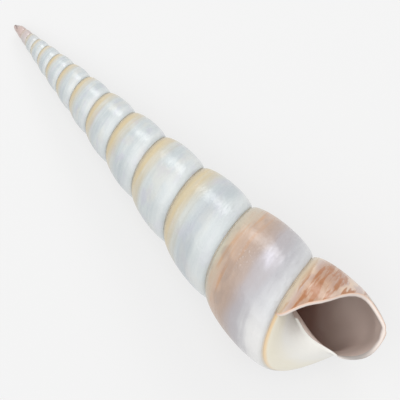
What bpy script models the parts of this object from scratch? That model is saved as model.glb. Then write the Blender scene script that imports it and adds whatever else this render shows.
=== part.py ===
"""Tower shell: one shell wall wound to the right in fourteen turns, lying on its side."""
import math

import bmesh
import bpy
from mathutils import Matrix, Vector

for old in list(bpy.data.objects):
    bpy.data.objects.remove(old, do_unlink=True)

# Coil. Angles count along the lower seam of a turn, in degrees from the seam's front
UNIT = 0.1090            # height of the last seam above the point where the coil would vanish
TURN_RATIO = 1.2087      # each turn is this much larger than the one before it
SLENDER = 0.979515       # radius against height lost in each turn
SEAM_RADIUS = 0.1106     # radius of the seam, as a share of its height
STEP = 12.0              # degrees from one growth line to the next
LIP = 372.0              # angle at which the lip leaves the last seam
STATIONS = 419           # growth lines from the tip to the lip
PER_TURN = 30
TIP_END = -5110.0        # angle whose height the blunt tip reaches

# Outline of a turn, as shares of the turn's height
BELLY = 0.120            # how far a turn swells beyond its seams
BELLY_LEAN = 0.93
BELLY_FLAT = 0.53
LAST_BELLY_LOSS = 0.06   # the last turn swells less
LAST_SEAM_LOSS = 0.07    # and is let in under the one before it
BASE_DEPTH = 0.08
BASE_ROUND = 2.3
PILLAR = 0.12            # pillar radius, as a share of the seam radius

# Wall
WALL = 0.046             # thickness as a share of the turn's height
HOLLOW = 66              # growth lines over which the tube is open
LAG_OUTER = 85.0         # degrees by which the lip falls back on its way down
LAG_BASE = 70.0          # and further, from the base to the pillar
LAG_REACH = 320.0        # degrees back from the lip where the lag sets in

# Lying on its side
ROLL = -174.0
TILT = 7.06
FLAT = 0.0002            # depth of the flats on the crests that touch the ground

OUTER = (0.0, 0.05, 0.15, 0.27, 0.42, 0.6, 0.8, 0.95, 1.0)
BASE = (0.0, 0.1, 0.35, 0.62, 0.84, 1.0)
INNER = OUTER[2:-1]
FLOOR = BASE[2:]
CORE = (0.3, 0.65)

RATE = math.log(TURN_RATIO) / 360.0
THIN = math.log(SLENDER) / 360.0


def ease(x):
    x = min(1.0, max(0.0, x))
    return x * x * (3.0 - 2.0 * x)


def height(angle):
    return math.exp(RATE * angle)


def seam(angle):
    lost = LAST_SEAM_LOSS * ease((angle + 70.0) / 110.0)
    return SEAM_RADIUS * math.exp((RATE + THIN) * angle) * (1.0 - lost)


def outer_point(angle, share):
    top, low = height(angle - 360.0), height(angle)
    inner, outer = seam(angle - 360.0), seam(angle)
    x = share ** BELLY_LEAN
    swell = BELLY * (4.0 * x * (1.0 - x)) ** BELLY_FLAT * (1.0 - LAST_BELLY_LOSS * ease((angle - 120.0) / 150.0))
    return inner + (outer - inner) * share + swell * (low - top), top + (low - top) * share


def base_point(angle, share):
    low = height(angle)
    tall = low - height(angle - 360.0)
    rim = seam(angle)
    core = PILLAR * rim
    out = 1.0 - share
    return core + (rim - core) * out, low + BASE_DEPTH * tall * (1.0 - out ** BASE_ROUND) ** (1.0 / BASE_ROUND)


def inside(rule, angle, share):
    """The point one wall thickness in from a point of the outer or base outline."""
    thick = WALL * (height(angle) - height(angle - 360.0))
    r0, z0 = rule(angle, max(0.0, share - 0.02))
    r1, z1 = rule(angle, min(1.0, share + 0.02))
    long = math.hypot(r1 - r0, z1 - z0)
    r, z = rule(angle, share)
    return r - thick * (z1 - z0) / long, z + thick * (r1 - r0) / long


def lag(share, base_share, station):
    back = (STATIONS - station) * STEP
    full = LAG_OUTER * ease(share / 0.75) + LAG_BASE * base_share ** 5
    return full * ease(1.0 - back / LAG_REACH)


def spot(angle, point):
    turn = math.radians(angle)
    return Vector((point[0] * math.cos(turn), point[0] * math.sin(turn), point[1])) * UNIT


def angle_of(station):
    return LIP - (STATIONS - station) * STEP


def outer_spot(station, share):
    angle = angle_of(station) - lag(share, 0.0, station)
    return spot(angle, outer_point(angle, share))


def base_spot(station, share):
    angle = angle_of(station) - lag(1.0, share, station)
    return spot(angle, base_point(angle, share))


def chain(bm, spots):
    """A line of joined vertices."""
    verts = [bm.verts.new(p) for p in spots]
    for a, b in zip(verts, verts[1:]):
        bm.edges.new((a, b))
    return verts


def sweep(bm, verts, rule, first, last):
    """Extrude a line from growth line to growth line, each to its own place."""
    lines = {first: verts}
    for station in range(first + 1, last + 1):
        edges = [bm.edges.get((a, b)) for a, b in zip(verts, verts[1:])]
        made = bmesh.ops.extrude_edge_only(bm, edges=edges)["geom"]
        fresh = {item for item in made if isinstance(item, bmesh.types.BMVert)}
        after = []
        for vert, place in zip(verts, rule(station)):
            mate = next(e.other_vert(vert) for e in vert.link_edges if e.other_vert(vert) in fresh)
            mate.co = place
            after.append(mate)
        verts = after
        lines[station] = verts
    return lines


def outer_line(station):
    return [outer_spot(station, s) for s in OUTER]


def base_line(station):
    return [base_spot(station, s) for s in BASE]


def roof_line(station):
    return base_line(station)[1:]


def inner_line(station):
    """Inside of the tube, from the roof under the seam round to the pillar and up it."""
    spots = [base_spot(station - PER_TURN, BASE[1])]
    for share in INNER:
        angle = angle_of(station) - lag(share, 0.0, station)
        spots.append(spot(angle, inside(outer_point, angle, share)))
    for share in FLOOR:
        angle = angle_of(station) - lag(1.0, share, station)
        spots.append(spot(angle, inside(base_point, angle, share)))
    late = ease(1.0 - (STATIONS - station) * STEP / LAG_REACH)
    roof = height(angle_of(station) - 360.0)
    for part in CORE:
        angle = angle_of(station) - lag(1.0, 1.0, station) * (1.0 - part)
        core = PILLAR * seam(angle) * (1.0 - 0.9 * late * math.sin(math.pi * part))
        spots.append(spot(angle, (core, height(angle) - (height(angle) - roof) * part)))
    return spots + [base_spot(station - PER_TURN, 1.0)]


bm = bmesh.new()
outer = sweep(bm, chain(bm, outer_line(0)), outer_line, 0, STATIONS)
mouth = STATIONS - PER_TURN
back = STATIONS - HOLLOW
bared = sweep(bm, chain(bm, base_line(mouth)), base_line, mouth, STATIONS)
roof = sweep(bm, chain(bm, roof_line(back - PER_TURN)), roof_line, back - PER_TURN, mouth)
lining = sweep(bm, chain(bm, inner_line(back)), inner_line, back, STATIONS)


def base_vert(station, place):
    if station >= mouth:
        return bared[station][place]
    return roof[station][place - 1]


def edges_along(bm, verts):
    return [bm.edges.get(pair) for pair in zip(verts, verts[1:])]


def close_with_point(bm, loop, place):
    """Fill a closed line of vertices with a fan round one point."""
    face = bm.faces.new(loop)
    point = bmesh.ops.poke(bm, faces=[face])["verts"][0]
    point.co = place


# Seams, where a turn is joined to the one before it
merge = {}
for station in range(PER_TURN, STATIONS + 1):
    merge[outer[station][0]] = outer[station - PER_TURN][-1]
for station in range(mouth, STATIONS + 1):
    merge[bared[station][0]] = outer[station][-1]
for old, kept in zip(roof[mouth], bared[mouth][1:]):
    merge[old] = kept
for station in range(back, STATIONS + 1):
    merge[lining[station][0]] = base_vert(station - PER_TURN, 1)
    merge[lining[station][-1]] = base_vert(station - PER_TURN, len(BASE) - 1)
bmesh.ops.weld_verts(bm, targetmap=merge)

# Rim of the lip, between the outer line and the lining
floor_end = len(INNER) + len(FLOOR)
rim_out = [outer[mouth][-1]] + outer[STATIONS][1:] + bared[STATIONS][1:]
rim_in = [bared[mouth][1]] + lining[STATIONS][1:floor_end + 1]
mates = [0, 0] + list(range(1, len(INNER) + 1)) + [len(INNER)] * 2 + list(range(len(INNER) + 1, floor_end + 1))
for place in range(len(rim_out) - 1):
    near, far = mates[place], mates[place + 1]
    corners = [rim_out[place], rim_out[place + 1], rim_in[far]]
    if near != far:
        corners.append(rim_in[near])
    bm.faces.new(corners)

# Foot of the pillar
foot = [bared[station][-1] for station in range(mouth, STATIONS + 1)]
foot += lining[STATIONS][floor_end:-1]
bm.faces.new(foot)

# Wall that ends the tube inside
wall = [base_vert(back - PER_TURN, place) for place in range(1, len(BASE))]
wall += lining[back][-2:0:-1]
close_with_point(bm, wall, spot(angle_of(back) - 25.0, (seam(angle_of(back)) * 0.75, height(angle_of(back) - 200.0))))

# Blunt tip
tip = outer[0][:] + [outer[station][0] for station in range(PER_TURN - 1, 0, -1)]
close_with_point(bm, tip, Vector((0.0, 0.0, height(TIP_END) * UNIT)))

bmesh.ops.triangulate(bm, faces=bm.faces, quad_method="SHORT_EDGE")
bmesh.ops.recalc_face_normals(bm, faces=bm.faces)

# Laid on its side
bmesh.ops.rotate(bm, verts=bm.verts, matrix=Matrix.Rotation(math.radians(ROLL), 3, "Z"))
bmesh.ops.rotate(bm, verts=bm.verts, matrix=Matrix.Rotation(math.radians(90.0 - TILT), 3, "Y"))
ground = Vector((0.0, 0.0, min(v.co.z for v in bm.verts) + FLAT))
parts = bm.verts[:] + bm.edges[:] + bm.faces[:]
bmesh.ops.bisect_plane(bm, geom=parts, plane_co=ground, plane_no=(0.0, 0.0, -1.0), clear_outer=True)
bmesh.ops.holes_fill(bm, edges=[edge for edge in bm.edges if edge.is_boundary])
bmesh.ops.triangulate(bm, faces=bm.faces)
bmesh.ops.recalc_face_normals(bm, faces=bm.faces)
low = [min(v.co[k] for v in bm.verts) for k in range(3)]
high = [max(v.co[k] for v in bm.verts) for k in range(3)]
middle = Vector((low[0] + high[0], low[1] + high[1], 2.0 * low[2])) * 0.5
bmesh.ops.translate(bm, verts=bm.verts, vec=-middle)

mesh = bpy.data.meshes.new("shell")
bm.to_mesh(mesh)
bm.free()
shell = bpy.data.objects.new("shell", mesh)
bpy.context.scene.collection.objects.link(shell)

pearl = bpy.data.materials.new("pearly shell")
pearl.use_nodes = True
look = pearl.node_tree.nodes["Principled BSDF"]
look.inputs["Base Color"].default_value = (0.72, 0.70, 0.66, 1.0)
look.inputs["Roughness"].default_value = 0.28
look.inputs["Metallic"].default_value = 0.0
mesh.materials.append(pearl)
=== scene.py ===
import math

import bmesh
import bpy
from mathutils import Matrix, Vector


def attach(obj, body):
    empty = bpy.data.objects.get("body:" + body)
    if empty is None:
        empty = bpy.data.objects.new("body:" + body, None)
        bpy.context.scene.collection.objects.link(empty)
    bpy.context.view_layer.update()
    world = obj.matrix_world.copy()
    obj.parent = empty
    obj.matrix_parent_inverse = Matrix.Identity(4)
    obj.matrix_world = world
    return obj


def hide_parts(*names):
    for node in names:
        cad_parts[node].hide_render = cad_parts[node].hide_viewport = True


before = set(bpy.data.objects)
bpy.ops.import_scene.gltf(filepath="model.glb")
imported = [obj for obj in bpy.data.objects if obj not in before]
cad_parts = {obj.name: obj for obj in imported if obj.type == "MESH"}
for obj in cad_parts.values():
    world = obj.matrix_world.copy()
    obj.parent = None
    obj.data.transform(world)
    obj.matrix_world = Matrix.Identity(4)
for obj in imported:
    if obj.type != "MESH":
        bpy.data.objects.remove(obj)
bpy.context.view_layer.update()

# Coil. Angles count along the lower seam of a turn, in degrees from the seam's front
UNIT = 0.1090            # height of the last seam above the point where the coil would vanish
TURN_RATIO = 1.2087      # each turn is this much larger than the one before it
SLENDER = 0.979515       # radius against height lost in each turn
SEAM_RADIUS = 0.1106     # radius of the seam, as a share of its height
LIP = 372.0              # angle at which the lip leaves the last seam
PER_TURN = 96            # growth lines in a turn
STEP = 360.0 / PER_TURN
TURNS = 13.95
STATIONS = int(TURNS * PER_TURN)
TIP_END = -5110.0        # angle whose height the blunt tip reaches

# Outline of a turn, as shares of the turn's height
BELLY = 0.120            # how far a turn swells beyond its seams
BELLY_LEAN = 0.93
BELLY_FLAT = 0.53
TIP_LOSS = 0.27          # the first turns are slimmer than the rule, by this share at the tip
TIP_ROUND = 0.10         # and the very end is drawn in by this much more
LAST_BELLY_LOSS = 0.06   # the last turn swells less
LAST_SEAM_LOSS = 0.07    # and is let in under the one before it
BASE_DEPTH = 0.08
BASE_ROUND = 2.3
PILLAR = 0.12            # pillar radius, as a share of the seam radius
MOUTH_BULGE = 0.48       # how far the mouth's edge swings over the pillar, as a share of the pillar's radius

# Wall
WALL = 0.046             # thickness as a share of the turn's height
OPEN_TURNS = 2.2         # turns over which the tube is open
LAG_OUTER = 85.0         # degrees by which the lip falls back on its way down
LAG_BASE = 70.0          # and further, from the base to the pillar
LAG_START = 8.0          # and early, just under the seam
LAG_REACH = 320.0        # degrees back from the lip where the lag sets in

LIP_CURL = 0.05          # how far the lip's outer corner is drawn in

# Lying on its side
ROLL = -174.0
TILT = 7.06
MIDDLE = Vector((0.06708936, 0.0005375, -0.00080004))  # where the laid coil's box has its middle

OUTER_COLUMNS = 26
BASE_COLUMNS = 14
RIM_STEPS = 6
LIP_ROUND = 0.0005       # how far the rim of the lip is rounded over
EDGE_ROUND = 0.0002      # and the base's inner edge

RATE = math.log(TURN_RATIO) / 360.0
THIN = math.log(SLENDER) / 360.0
LAYING = Matrix.Rotation(math.radians(90.0 - TILT), 3, "Y") @ Matrix.Rotation(math.radians(ROLL), 3, "Z")


def ease(x):
    x = min(1.0, max(0.0, x))
    return x * x * (3.0 - 2.0 * x)


def crowded(count, lean):
    """Shares from 0 to 1, closer together at both ends."""
    shares = []
    for k in range(count + 1):
        x = k / count
        shares.append(x + (0.5 - 0.5 * math.cos(math.pi * x) - x) * lean)
    return shares


OUTER = crowded(OUTER_COLUMNS, 0.85)
BASE = crowded(BASE_COLUMNS, 0.7)
SKIP = 4                 # inside the tube, the columns that start clear of the seam
INNER = OUTER[SKIP:-1]
FLOOR = BASE[4:]
PILLAR_COLUMNS = 16
BEND_START, BEND_END = 14, 25  # inside the tube, the columns between which wall and floor make one round bend
BEND_REACH = 20.0        # degrees back from the lip over which the bend comes in
CORE = [k / PILLAR_COLUMNS for k in range(1, PILLAR_COLUMNS)]


def height(angle):
    return math.exp(RATE * angle)


def slimmed(angle):
    """Share of its width that a turn keeps towards the tip."""
    kept = 1.0 - TIP_LOSS * (max(0.0, -2700.0 - angle) / 1990.0) ** 1.2
    return kept * (1.0 - TIP_ROUND * ease((-4500.0 - angle) / 500.0))


def seam(angle):
    lost = LAST_SEAM_LOSS * ease((angle + 70.0) / 110.0)
    return SEAM_RADIUS * math.exp((RATE + THIN) * angle) * (1.0 - lost) * slimmed(angle)


def outer_point(angle, share):
    top, low = height(angle - 360.0), height(angle)
    inner, outer = seam(angle - 360.0), seam(angle)
    x = share ** BELLY_LEAN
    kept = slimmed(angle) * (1.0 - LAST_BELLY_LOSS * ease((angle - 120.0) / 150.0))
    swell = BELLY * (4.0 * x * (1.0 - x)) ** BELLY_FLAT * kept
    return inner + (outer - inner) * share + swell * (low - top), top + (low - top) * share


def base_point(angle, share):
    low = height(angle)
    tall = low - height(angle - 360.0)
    rim = seam(angle)
    core = PILLAR * rim
    out = 1.0 - share
    dome = (1.0 - out ** BASE_ROUND) ** (1.0 / BASE_ROUND)
    return core + (rim - core) * out, low + BASE_DEPTH * tall * dome


def inside(rule, angle, share):
    """The point one wall thickness in from a point of the outer or base outline."""
    thick = WALL * (height(angle) - height(angle - 360.0))
    r0, z0 = rule(angle, max(0.0, share - 0.02))
    r1, z1 = rule(angle, min(1.0, share + 0.02))
    long = math.hypot(r1 - r0, z1 - z0)
    r, z = rule(angle, share)
    return r - thick * (z1 - z0) / long, z + thick * (r1 - r0) / long


def lag(share, base_share, station):
    back = (STATIONS - station) * STEP
    full = LAG_OUTER * ease(share / 0.75) + LAG_BASE * base_share ** 5
    full += LAG_START * math.sin(math.pi * min(1.0, share / 0.4)) ** 2
    return full * ease(1.0 - back / LAG_REACH)


def angle_of(station):
    return LIP - (STATIONS - station) * STEP


def laid(point):
    """From the upright coil to where the shell lies."""
    return LAYING @ (point * UNIT) - MIDDLE


def curled(r, share, base_share, station):
    """The lip's outer corner is drawn in a little."""
    back = (STATIONS - station) * STEP
    corner = ease((share - 0.55) / 0.45) * (1.0 - ease(base_share / 0.6))
    return r * (1.0 - LIP_CURL * corner * ease(1.0 - back / 70.0))


def spot(angle, point):
    turn = math.radians(angle)
    return laid(Vector((point[0] * math.cos(turn), point[0] * math.sin(turn), point[1])))


def axis_spot(angle):
    return laid(Vector((0.0, 0.0, base_point(angle, 1.0)[1])))


def outer_spot(station, share):
    angle = angle_of(station) - lag(share, 0.0, station)
    r, z = outer_point(angle, share)
    return spot(angle, (curled(r, share, 0.0, station), z))


def base_spot(station, share):
    angle = angle_of(station) - lag(1.0, share, station)
    r, z = base_point(angle, share)
    return spot(angle, (curled(r, 1.0, share, station), z))


def sheet(bm, columns, first, last, rule, mark):
    """A grid wound on, row by row, from one growth line to another. Gives back its vertices by row."""
    rows = last - first
    made = bmesh.ops.create_grid(bm, x_segments=columns, y_segments=rows, size=0.5)["verts"]
    place = bm.loops.layers.uv["place"]
    lines = [[None] * (columns + 1) for row in range(rows + 1)]
    for vert in made:
        column = round((vert.co.x + 0.5) * columns)
        lines[round((vert.co.y + 0.5) * rows)][column] = vert
    for row, line in enumerate(lines):
        station = first + row
        for column, (vert, spot_here) in enumerate(zip(line, rule(station))):
            vert.co = spot_here
            where = mark(station, column)
            for loop in vert.link_loops:
                loop[place].uv = where
    return {first + row: line for row, line in enumerate(lines)}


def outer_line(station):
    return [outer_spot(station, s) for s in OUTER]


def base_line(station):
    return [base_spot(station, s) for s in BASE]


def roof_line(station):
    """The base as the next turn's roof, from where the lining meets it."""
    return base_line(station)[2:]


def pillar_spot(station, part):
    """Up the pillar inside the tube, from the floor to the roof.

    By the lip it crosses over as the mouth's own edge.
    """
    here = angle_of(station)
    fall = lag(1.0, 1.0, station)
    angle = here - fall * (1.0 - part)
    low = height(angle)
    straight = spot(angle, (PILLAR * seam(angle), low - (low - height(here - 360.0)) * part))
    edge = here - fall - (360.0 - fall) * part
    r, z = base_point(edge, 1.0)
    thick = WALL * (height(edge) - height(edge - 360.0)) * (1.0 - part ** 3)
    turned = math.radians(fall)
    ahead = math.cos(turned) + (1.0 - math.cos(turned)) * part
    across = MOUTH_BULGE * math.sin(math.pi * (part - 0.24) / 0.6)
    across += (MOUTH_BULGE * math.sin(0.4 * math.pi) - math.sin(turned)) * (1.0 - part) ** 2
    crossing = here + math.degrees(math.atan2(across, ahead))
    hugging = spot(crossing, (r * math.hypot(across, ahead), z - thick))
    near = max(0.0, 1.0 - (STATIONS - station) * STEP / LAG_REACH) ** (1.2 + 2.0 * part)
    return straight.lerp(hugging, near)


def inner_line(station):
    """Inside of the tube, from the roof under the seam round to the pillar and up it."""
    spots = [base_spot(station - PER_TURN, BASE[2])]
    for share in INNER:
        angle = angle_of(station) - lag(share, 0.0, station)
        r, z = inside(outer_point, angle, share)
        spots.append(spot(angle, (curled(r, share, 0.0, station), z)))
    for share in FLOOR:
        angle = angle_of(station) - lag(1.0, share, station)
        r, z = inside(base_point, angle, share)
        spots.append(spot(angle, (curled(r, 1.0, share, station), z)))
    wall, corner, floor = spots[BEND_START], spots[len(INNER)], spots[BEND_END]
    for k in range(BEND_START + 1, BEND_END):
        along = (k - BEND_START) / (BEND_END - BEND_START)
        bend = wall.lerp(corner, along).lerp(corner.lerp(floor, along), along)
        spots[k] = spots[k].lerp(bend, ease((STATIONS - station) * STEP / BEND_REACH))
    spots += [pillar_spot(station, part) for part in CORE]
    return spots + [base_spot(station - PER_TURN, 1.0)]


def mark_faces(bm, faces, where):
    """Write a place on the coil to every corner of some faces."""
    place = bm.loops.layers.uv["place"]
    for face in faces:
        for loop in face.loops:
            loop[place].uv = where


def close_with_point(bm, loop, point_spot, where):
    """Fill a closed line of vertices with a fan round one point."""
    fan = bmesh.ops.poke(bm, faces=[bm.faces.new(loop)])
    fan["verts"][0].co = point_spot
    mark_faces(bm, fan["faces"], where)


def grow_shell():
    bm = bmesh.new()
    bm.loops.layers.uv.new("place")
    mouth = STATIONS - PER_TURN
    back = STATIONS - int(OPEN_TURNS * PER_TURN)
    floor_end = len(INNER) + len(FLOOR)
    wall_columns = floor_end + len(CORE) + 1
    outer = sheet(bm, OUTER_COLUMNS, 0, STATIONS, outer_line,
                  lambda st, k: ((angle_of(st) - lag(OUTER[k], 0.0, st)) / 360.0, OUTER[k]))
    bared = sheet(bm, BASE_COLUMNS, mouth, STATIONS, base_line,
                  lambda st, k: ((angle_of(st) - lag(1.0, BASE[k], st)) / 360.0, 1.0 + BASE[k]))
    roof = sheet(bm, BASE_COLUMNS - 2, back - PER_TURN, mouth, roof_line,
                 lambda st, k: (angle_of(st) / 360.0, 1.0 + BASE[k + 2]))
    lining = sheet(bm, wall_columns, back, STATIONS, inner_line,
                   lambda st, k: (angle_of(st) / 360.0, 3.0 + k / wall_columns))

    def base_vert(station, place):
        if station >= mouth:
            return bared[station][place]
        return roof[station][place - 2]

    # Seams, where a turn is joined to the one before it
    merge = {}
    for station in range(PER_TURN, STATIONS + 1):
        merge[outer[station][0]] = outer[station - PER_TURN][-1]
    for station in range(mouth, STATIONS + 1):
        merge[bared[station][0]] = outer[station][-1]
    for old, kept in zip(roof[mouth], bared[mouth][2:]):
        merge[old] = kept
    for station in range(back, STATIONS + 1):
        merge[lining[station][0]] = base_vert(station - PER_TURN, 2)
        merge[lining[station][-1]] = base_vert(station - PER_TURN, len(BASE) - 1)
    bmesh.ops.weld_verts(bm, targetmap=merge)

    # Rim, rounded over from the outside to the lining: first the lip, then the base's
    # inner edge back to the roof under the seam
    margin = [(outer[mouth][-1], outer_spot(STATIONS - 1, 0.0))]
    margin += [(outer[STATIONS][k], outer_spot(STATIONS - 1, s)) for k, s in enumerate(OUTER)][1:]
    margin += [(bared[STATIONS][k], base_spot(STATIONS - 1, b)) for k, b in enumerate(BASE)][1:]
    for station in range(STATIONS - 1, mouth - 1, -1):
        vert = bared[station][-1]
        margin.append((vert, vert.co + (vert.co - axis_spot(angle_of(station) - lag(1.0, 1.0, station)))))
    lined = [base_vert(mouth, 2)] + lining[STATIONS][1:-1] + [base_vert(mouth, len(BASE) - 1)]
    skipped = len(BASE) - len(FLOOR)
    mates = [0] * SKIP + list(range(1, len(INNER) + 1)) + [len(INNER)] * skipped
    mates += list(range(len(INNER) + 1, floor_end + 1))
    mates = [0] * (len(OUTER) + len(BASE) - 1 - len(mates)) + mates
    for k in range(PER_TURN):
        mates.append(floor_end + round((k + 1) / PER_TURN * PILLAR_COLUMNS))
    rows = [[vert for vert, behind in margin]]
    edges = [bm.edges.get(pair) for pair in zip(rows[0], rows[0][1:])]
    for row in range(1, RIM_STEPS + 1):
        made = bmesh.ops.extrude_edge_only(bm, edges=edges)["geom"]
        fresh = {item for item in made if isinstance(item, bmesh.types.BMVert)}
        line = [next(e.other_vert(v) for e in v.link_edges if e.other_vert(v) in fresh) for v in rows[-1]]
        rows.append(line)
        edges = [bm.edges.get(pair) for pair in zip(line, line[1:])]
        swing = math.pi * row / RIM_STEPS
        for k, (vert, (start, behind), mate) in enumerate(zip(line, margin, mates)):
            half = (start.co - lined[mate].co) * 0.5
            swell = LIP_ROUND if k < len(OUTER) + len(BASE) else EDGE_ROUND
            ahead = (start.co - behind).normalized() * min(half.length, swell)
            vert.co = (start.co + lined[mate].co) * 0.5 + half * math.cos(swing) + ahead * math.sin(swing)
    # The rim's marks: how far along it, and 5 at its outer edge to 6 at the lining
    place = bm.loops.layers.uv["place"]
    marks = {}
    for row, line in enumerate(rows):
        for k, vert in enumerate(line):
            marks[vert] = (k / PER_TURN, 5.0 + row / RIM_STEPS)
    for face in {face for line in rows[1:] for vert in line for face in vert.link_faces}:
        for loop in face.loops:
            loop[place].uv = marks[loop.vert]
    merge = {vert: lined[mate] for vert, mate in zip(rows[-1], mates)}
    for row in rows[1:-1]:
        merge[row[0]] = bared[mouth][1]
        merge[row[-1]] = margin[-1][0]
    bmesh.ops.weld_verts(bm, targetmap=merge)

    # Wall that ends the tube inside
    wall = [base_vert(back - PER_TURN, place) for place in range(2, len(BASE))]
    wall += lining[back][-2:0:-1]
    middle = spot(angle_of(back) - 25.0, (seam(angle_of(back)) * 0.75, height(angle_of(back) - 200.0)))
    close_with_point(bm, wall, middle, (angle_of(back) / 360.0, 3.5))

    # Blunt tip
    tip = outer[0][:] + [outer[station][0] for station in range(PER_TURN - 1, 0, -1)]
    close_with_point(bm, tip, laid(Vector((0.0, 0.0, height(TIP_END)))), (angle_of(0) / 360.0, 0.5))

    # The lowest crests are worn flat where they touch the ground
    for vert in bm.verts:
        vert.co.z = max(vert.co.z, 0.0)

    bmesh.ops.triangulate(bm, faces=[face for face in bm.faces if len(face.verts) > 4])
    bmesh.ops.recalc_face_normals(bm, faces=bm.faces)
    return bm


def keep(bm, name):
    mesh = bpy.data.meshes.new(name)
    bm.to_mesh(mesh)
    bm.free()
    mesh.polygons.foreach_set("use_smooth", [True] * len(mesh.polygons))
    piece = bpy.data.objects.new(name, mesh)
    bpy.context.scene.collection.objects.link(piece)
    return piece


# Finish
ROUND = 4.5              # a turn is this many times as long round the shell as it is tall


def tone(red, green, blue):
    """A colour given as a paint card gives it, 0 to 255, made linear."""
    parts = [part / 255.0 for part in (red, green, blue)]
    return [p / 12.92 if p < 0.04045 else ((p + 0.055) / 1.055) ** 2.4 for p in parts] + [1.0]


class Amount:
    """A value that a finish's nodes work out. A sign between two of them adds a Math node."""

    def __init__(self, finish, socket):
        self.finish = finish
        self.socket = socket

    def worked(self, operation, first, second):
        return self.finish.node("ShaderNodeMath", {"operation": operation}, {0: first, 1: second})

    def __add__(self, other):
        return self.worked("ADD", self, other)

    def __radd__(self, other):
        return self.worked("ADD", other, self)

    def __sub__(self, other):
        return self.worked("SUBTRACT", self, other)

    def __rsub__(self, other):
        return self.worked("SUBTRACT", other, self)

    def __mul__(self, other):
        return self.worked("MULTIPLY", self, other)

    def __rmul__(self, other):
        return self.worked("MULTIPLY", other, self)

    def __rpow__(self, other):
        return self.worked("POWER", other, self)

    def __gt__(self, other):
        return self.worked("GREATER_THAN", self, other)


class Finish:
    """A material on the Principled shader, with the nodes that feed it."""

    def __init__(self, name):
        self.material = bpy.data.materials.new(name)
        self.material.use_nodes = True
        self.tree = self.material.node_tree
        self.shader = self.tree.nodes["Principled BSDF"]

    def feed(self, socket, value):
        if isinstance(value, Amount):
            self.tree.links.new(value.socket, socket)
        else:
            socket.default_value = value

    def node(self, kind, settings, inputs, output=0):
        """Add a node: its settings, then its inputs' values or links. Gives back the output asked for."""
        made = self.tree.nodes.new(kind)
        for name, value in settings.items():
            if name == "stops":
                ramp = made.color_ramp
                while len(ramp.elements) < len(value):
                    ramp.elements.new(0.5)
                for element, (position, color) in zip(ramp.elements, value):
                    element.position = position
                    element.color = color
            else:
                setattr(made, name, value)
        for key, value in inputs.items():
            self.feed(made.inputs[key], value)
        if isinstance(output, tuple):
            return [Amount(self, made.outputs[k]) for k in output]
        return Amount(self, made.outputs[output])

    def rise(self, value, low, high):
        """From 0 at low to 1 at high, eased at both ends."""
        return self.node("ShaderNodeMapRange", {"interpolation_type": "SMOOTHSTEP"},
                         {"Value": value, "From Min": low, "From Max": high})

    def blend(self, under, over, share):
        """One colour laid over another."""
        return self.node("ShaderNodeMix", {"data_type": "RGBA"}, {0: share, 6: under, 7: over}, 2)

    def grain(self, u, v, along, across, layer, detail=4.0):
        """Soft noise in the shell's own directions: along the coil and across the turn."""
        where = self.node("ShaderNodeCombineXYZ", {}, {0: u * (ROUND * along), 1: v * across, 2: layer})
        return self.node("ShaderNodeTexNoise", {}, {"Vector": where, "Scale": 1.0, "Detail": detail})


def around(finish, value, middle, reach):
    """1 at the middle, easing to 0 at the reach on both sides."""
    return finish.rise(value, middle - reach, middle) * (1.0 - finish.rise(value, middle, middle + reach))


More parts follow.
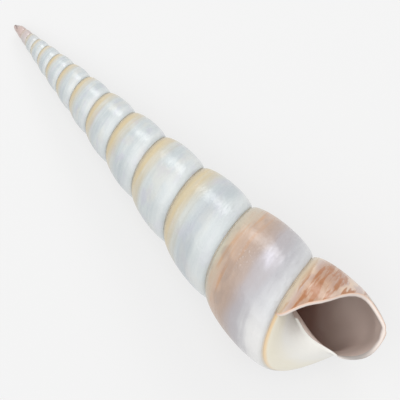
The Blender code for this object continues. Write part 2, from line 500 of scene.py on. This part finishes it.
def pearly_finish():
    finish = Finish("pearly shell")
    rise, blend, grain = finish.rise, finish.blend, finish.grain
    place = finish.node("ShaderNodeUVMap", {"uv_map": "place"}, {})
    u, v = finish.node("ShaderNodeSeparateXYZ", {}, {0: place}, (0, 1))
    inside_tube = v > 2.5
    on_rim = v > 4.5
    on_base = rise(v, 0.985, 1.01)
    streaks = grain(u, v, 1.0, 12.0, 0.0)
    threads = grain(u, v, 2.2, 36.0, 3.0)
    clouds = grain(u, v, 1.5, 2.4, 8.0, 3.0)
    blotches = grain(u, v, 3.0, 5.0, 14.0, 3.0)
    dents = grain(u, v, 6.0, 10.0, 31.0, 3.0)

    # Upper turns: pearl, with a golden band under each seam
    light = rise(streaks * 0.5 + clouds * 0.3 + threads * 0.2, 0.38, 0.62)
    color = blend(tone(176, 184, 187), tone(193, 199, 199), light)
    color = blend(color, tone(183, 182, 194), rise(blotches, 0.5, 0.66) * 0.5)
    color = blend(color, tone(198, 195, 186), rise(clouds, 0.52, 0.66) * 0.4)
    band_edge = rise(v + (streaks - 0.5) * 0.30 + (clouds - 0.5) * 0.16, 0.0, 0.46)
    band = (1.0 - band_edge) * (rise(u, -11.5, -7.0) * 0.4 + 0.5)
    color = blend(color, tone(199, 178, 132), band)
    # Darker grey-brown just under each seam: partly the band's deeper colour at the seam, partly painted
    # shade in the crease
    color = blend(color, tone(154, 148, 136), (1.0 - rise(v + (threads - 0.5) * 0.08, 0.0, 0.12)) * 0.5)
    low_down = rise(v + (clouds - 0.5) * 0.2, 0.60, 0.86) * (1.0 - rise(v, 0.88, 1.0) * 0.7)
    color = blend(color, tone(216, 219, 219), low_down * 0.46)
    color = blend(color, tone(168, 174, 180), around(finish, v, 0.54, 0.2) * rise(u, -1.6, -1.3) * 0.55)
    color = blend(color, tone(186, 162, 155), (1.0 - rise(u + (clouds - 0.5) * 1.2, -11.9, -9.6)) * 0.85)

    # Turn above the mouth: the brown coat shows, most of all in the upper half
    level = v + (clouds - 0.5) * 0.34 + (streaks - 0.5) * 0.14
    coat = finish.node("ShaderNodeValToRGB", {"stops": [
        (0.0, tone(184, 178, 160)),
        (0.20, tone(186, 160, 140)),
        (0.40, tone(168, 147, 134)),
        (0.58, tone(169, 162, 164)),
        (0.76, tone(176, 175, 179)),
        (0.92, tone(198, 199, 201)),
    ]}, {"Fac": level})
    # Whiter low on this turn towards the mouth: partly the shell's white lower edge, partly painted light on
    # the side that faces the lamps
    coat = blend(coat, tone(226, 225, 223), rise(level, 0.68, 0.86) * rise(u, 0.03, 0.13) * 0.8)
    coat = blend(coat, tone(184, 134, 88), rise(streaks + (threads - 0.5) * 0.3, 0.46, 0.62)
                 * rise(v, 0.04, 0.14) * (1.0 - rise(v, 0.24, 0.40)) * 0.55)
    coat = blend(coat, tone(146, 129, 120), rise(blotches, 0.50, 0.66) * (1.0 - rise(v, 0.30, 0.62)) * 0.4)
    # Painted highlight: a pale pearly patch where the lamps' highlight falls on this turn
    painted_highlight_patch = around(finish, u, -0.056, 0.045) * around(finish, v, 0.64, 0.18)
    coat = blend(coat, tone(216, 213, 222), (0.45 + rise(blotches, 0.42, 0.58) * 0.55) * painted_highlight_patch)
    blisters = rise(grain(u, v, 36.0, 36.0, 40.0, 1.0), 0.56, 0.68)
    blisters = blisters * around(finish, u, -0.012, 0.05) * around(finish, v, 0.38, 0.18)
    coat = blend(coat, tone(214, 204, 200), blisters * 0.45)
    color = blend(color, coat, rise(u + (clouds - 0.5) * 0.3, -0.66, -0.40))

    # Turn by the mouth: short orange-brown streaks
    last = blend(tone(211, 188, 167), tone(186, 165, 157), rise(blotches, 0.42, 0.58))
    last = blend(last, tone(168, 126, 96), rise(v, 0.06, 0.16) * (1.0 - rise(v, 0.24, 0.5)) * 0.75)
    flecks = grain(u, v, 2.6, 15.0, 21.0, 3.0)
    last = blend(last, tone(160, 102, 58), rise(flecks, 0.46, 0.56) * (1.0 - rise(v, 0.74, 0.90)) * 0.9)
    last = blend(last, tone(158, 148, 143), rise(v, 0.56, 0.74) * (1.0 - rise(v, 0.84, 0.94)) * 0.6)
    last = blend(last, tone(200, 184, 156), (1.0 - rise(v, 0.02, 0.11)) * 0.85)
    last = blend(last, tone(216, 210, 204), rise(v, 0.84, 0.94))
    color = blend(color, last, rise(u + (clouds - 0.5) * 0.1, 0.44, 0.60))

    # Seams are a greyer line, partly their own colour and partly painted shade in the crease between turns
    seam_line_and_shade = (1.0 - rise(v, 0.0, 0.05)) + rise(v, 0.94, 1.0)
    color = blend(color, tone(176, 174, 166), seam_line_and_shade * 0.3)

    # Base: cream, with an orange-yellow line at its edge
    base = blend(tone(231, 225, 207), tone(230, 228, 222), rise(v + (clouds - 0.5) * 0.6, 1.15, 1.65))
    edge = 1.0 - rise(v + (clouds - 0.5) * 0.08, 1.0, 1.08)
    base = blend(base, tone(228, 192, 142), edge * (0.85 - rise(u, 0.10, 0.40) * 0.6))
    color = blend(color, base, on_base)

    # Inside: taupe, going to a darker, redder brown deeper in: partly the lining's own colour, partly painted
    # shade down the tube
    lining = blend(tone(116, 62, 42), tone(194, 176, 167), rise(u + (clouds - 0.5) * 0.2, 0.52, 0.88))
    # Painted light: the tube's floor is lightened near the mouth, as if lit there
    floor = rise(v, 3.22, 3.45) * (1.0 - rise(u, 0.86, 0.95))
    lining = blend(lining, tone(222, 204, 195), floor * 0.6)
    color = blend(color, lining, inside_tube)
    lip = blend(tone(212, 176, 152), tone(226, 214, 206), rise(v, 5.0, 5.4))
    lip = blend(lip, tone(192, 180, 174), rise(v, 5.45, 5.9))
    # Painted shade: a dark grey stretch of the rim along the lip's far lower edge
    lip = blend(lip, tone(150, 146, 143), around(finish, u, 0.385, 0.06) * 0.85)
    color = blend(color, blend(lip, tone(231, 229, 223), rise(u, 0.40, 0.45)), on_rim)

    finish.feed(finish.shader.inputs["Base Color"], color)
    finish.feed(finish.shader.inputs["Roughness"], 0.22 + threads * 0.22 + inside_tube * 0.12)
    finish.feed(finish.shader.inputs["Coat Weight"], 0.36 - inside_tube * 0.3)
    finish.feed(finish.shader.inputs["Coat Roughness"], 0.22)
    grow = TURN_RATIO ** u
    relief = dents * 0.7 + streaks * 0.2 + threads * 0.1 + blisters * 0.15
    relief = relief * grow * (1.0 - inside_tube) * (1.0 - on_base * 0.9)
    normal = finish.node("ShaderNodeBump", {}, {"Strength": 0.6, "Distance": 0.0009, "Height": relief})
    finish.feed(finish.shader.inputs["Normal"], normal)
    return finish.material


shell = keep(grow_shell(), "pearly_shell")
shell.data.materials.append(pearly_finish())
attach(shell, "root")
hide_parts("shell")

# Table
bm = bmesh.new()
bmesh.ops.create_grid(bm, x_segments=1, y_segments=1, size=3.0)
table = keep(bm, "table")
lit = Finish("lit table")
lit.feed(lit.shader.inputs["Base Color"], (0.2, 0.2, 0.2, 1.0))
lit.feed(lit.shader.inputs["Roughness"], 0.9)
lit.feed(lit.shader.inputs["Specular IOR Level"], 0.0)
lit.feed(lit.shader.inputs["Emission Color"], (1.0, 1.0, 1.0, 1.0))
lit.feed(lit.shader.inputs["Emission Strength"], 0.65)
table.data.materials.append(lit.material)

# Light
world = bpy.data.worlds.new("tent")
bpy.context.scene.world = world
world.use_nodes = True
world.node_tree.nodes["Background"].inputs["Color"].default_value = (1.0, 1.0, 1.0, 1.0)
world.node_tree.nodes["Background"].inputs["Strength"].default_value = 0.68


def softbox(name, place, aim, width, tall, power):
    light = bpy.data.lights.new(name, "AREA")
    light.shape = "RECTANGLE"
    light.size = width
    light.size_y = tall
    light.energy = power
    lamp = bpy.data.objects.new(name, light)
    lamp.location = place
    lamp.rotation_euler = (Vector(aim) - Vector(place)).to_track_quat("-Z", "Y").to_euler()
    bpy.context.scene.collection.objects.link(lamp)


softbox("top", (0.0, -0.22, 0.63), (0.0, 0.0, 0.01), 1.0, 1.0, 3.7)
softbox("key", (-0.33, 0.46, 0.36), (0.0, 0.0, 0.01), 0.36, 0.22, 1.4)

bpy.context.scene.view_settings.view_transform = "Standard"

# Camera
view = bpy.data.cameras.new("camera")
view.lens = 90.0
view.sensor_width = 36.0
view.clip_start = 0.01
camera = bpy.data.objects.new("camera", view)
camera.location = (0.06067, -0.02842, 0.23201)
camera.rotation_euler = [math.radians(a) for a in (15.002, 3.091, 48.287)]
bpy.context.scene.collection.objects.link(camera)
bpy.context.scene.camera = camera
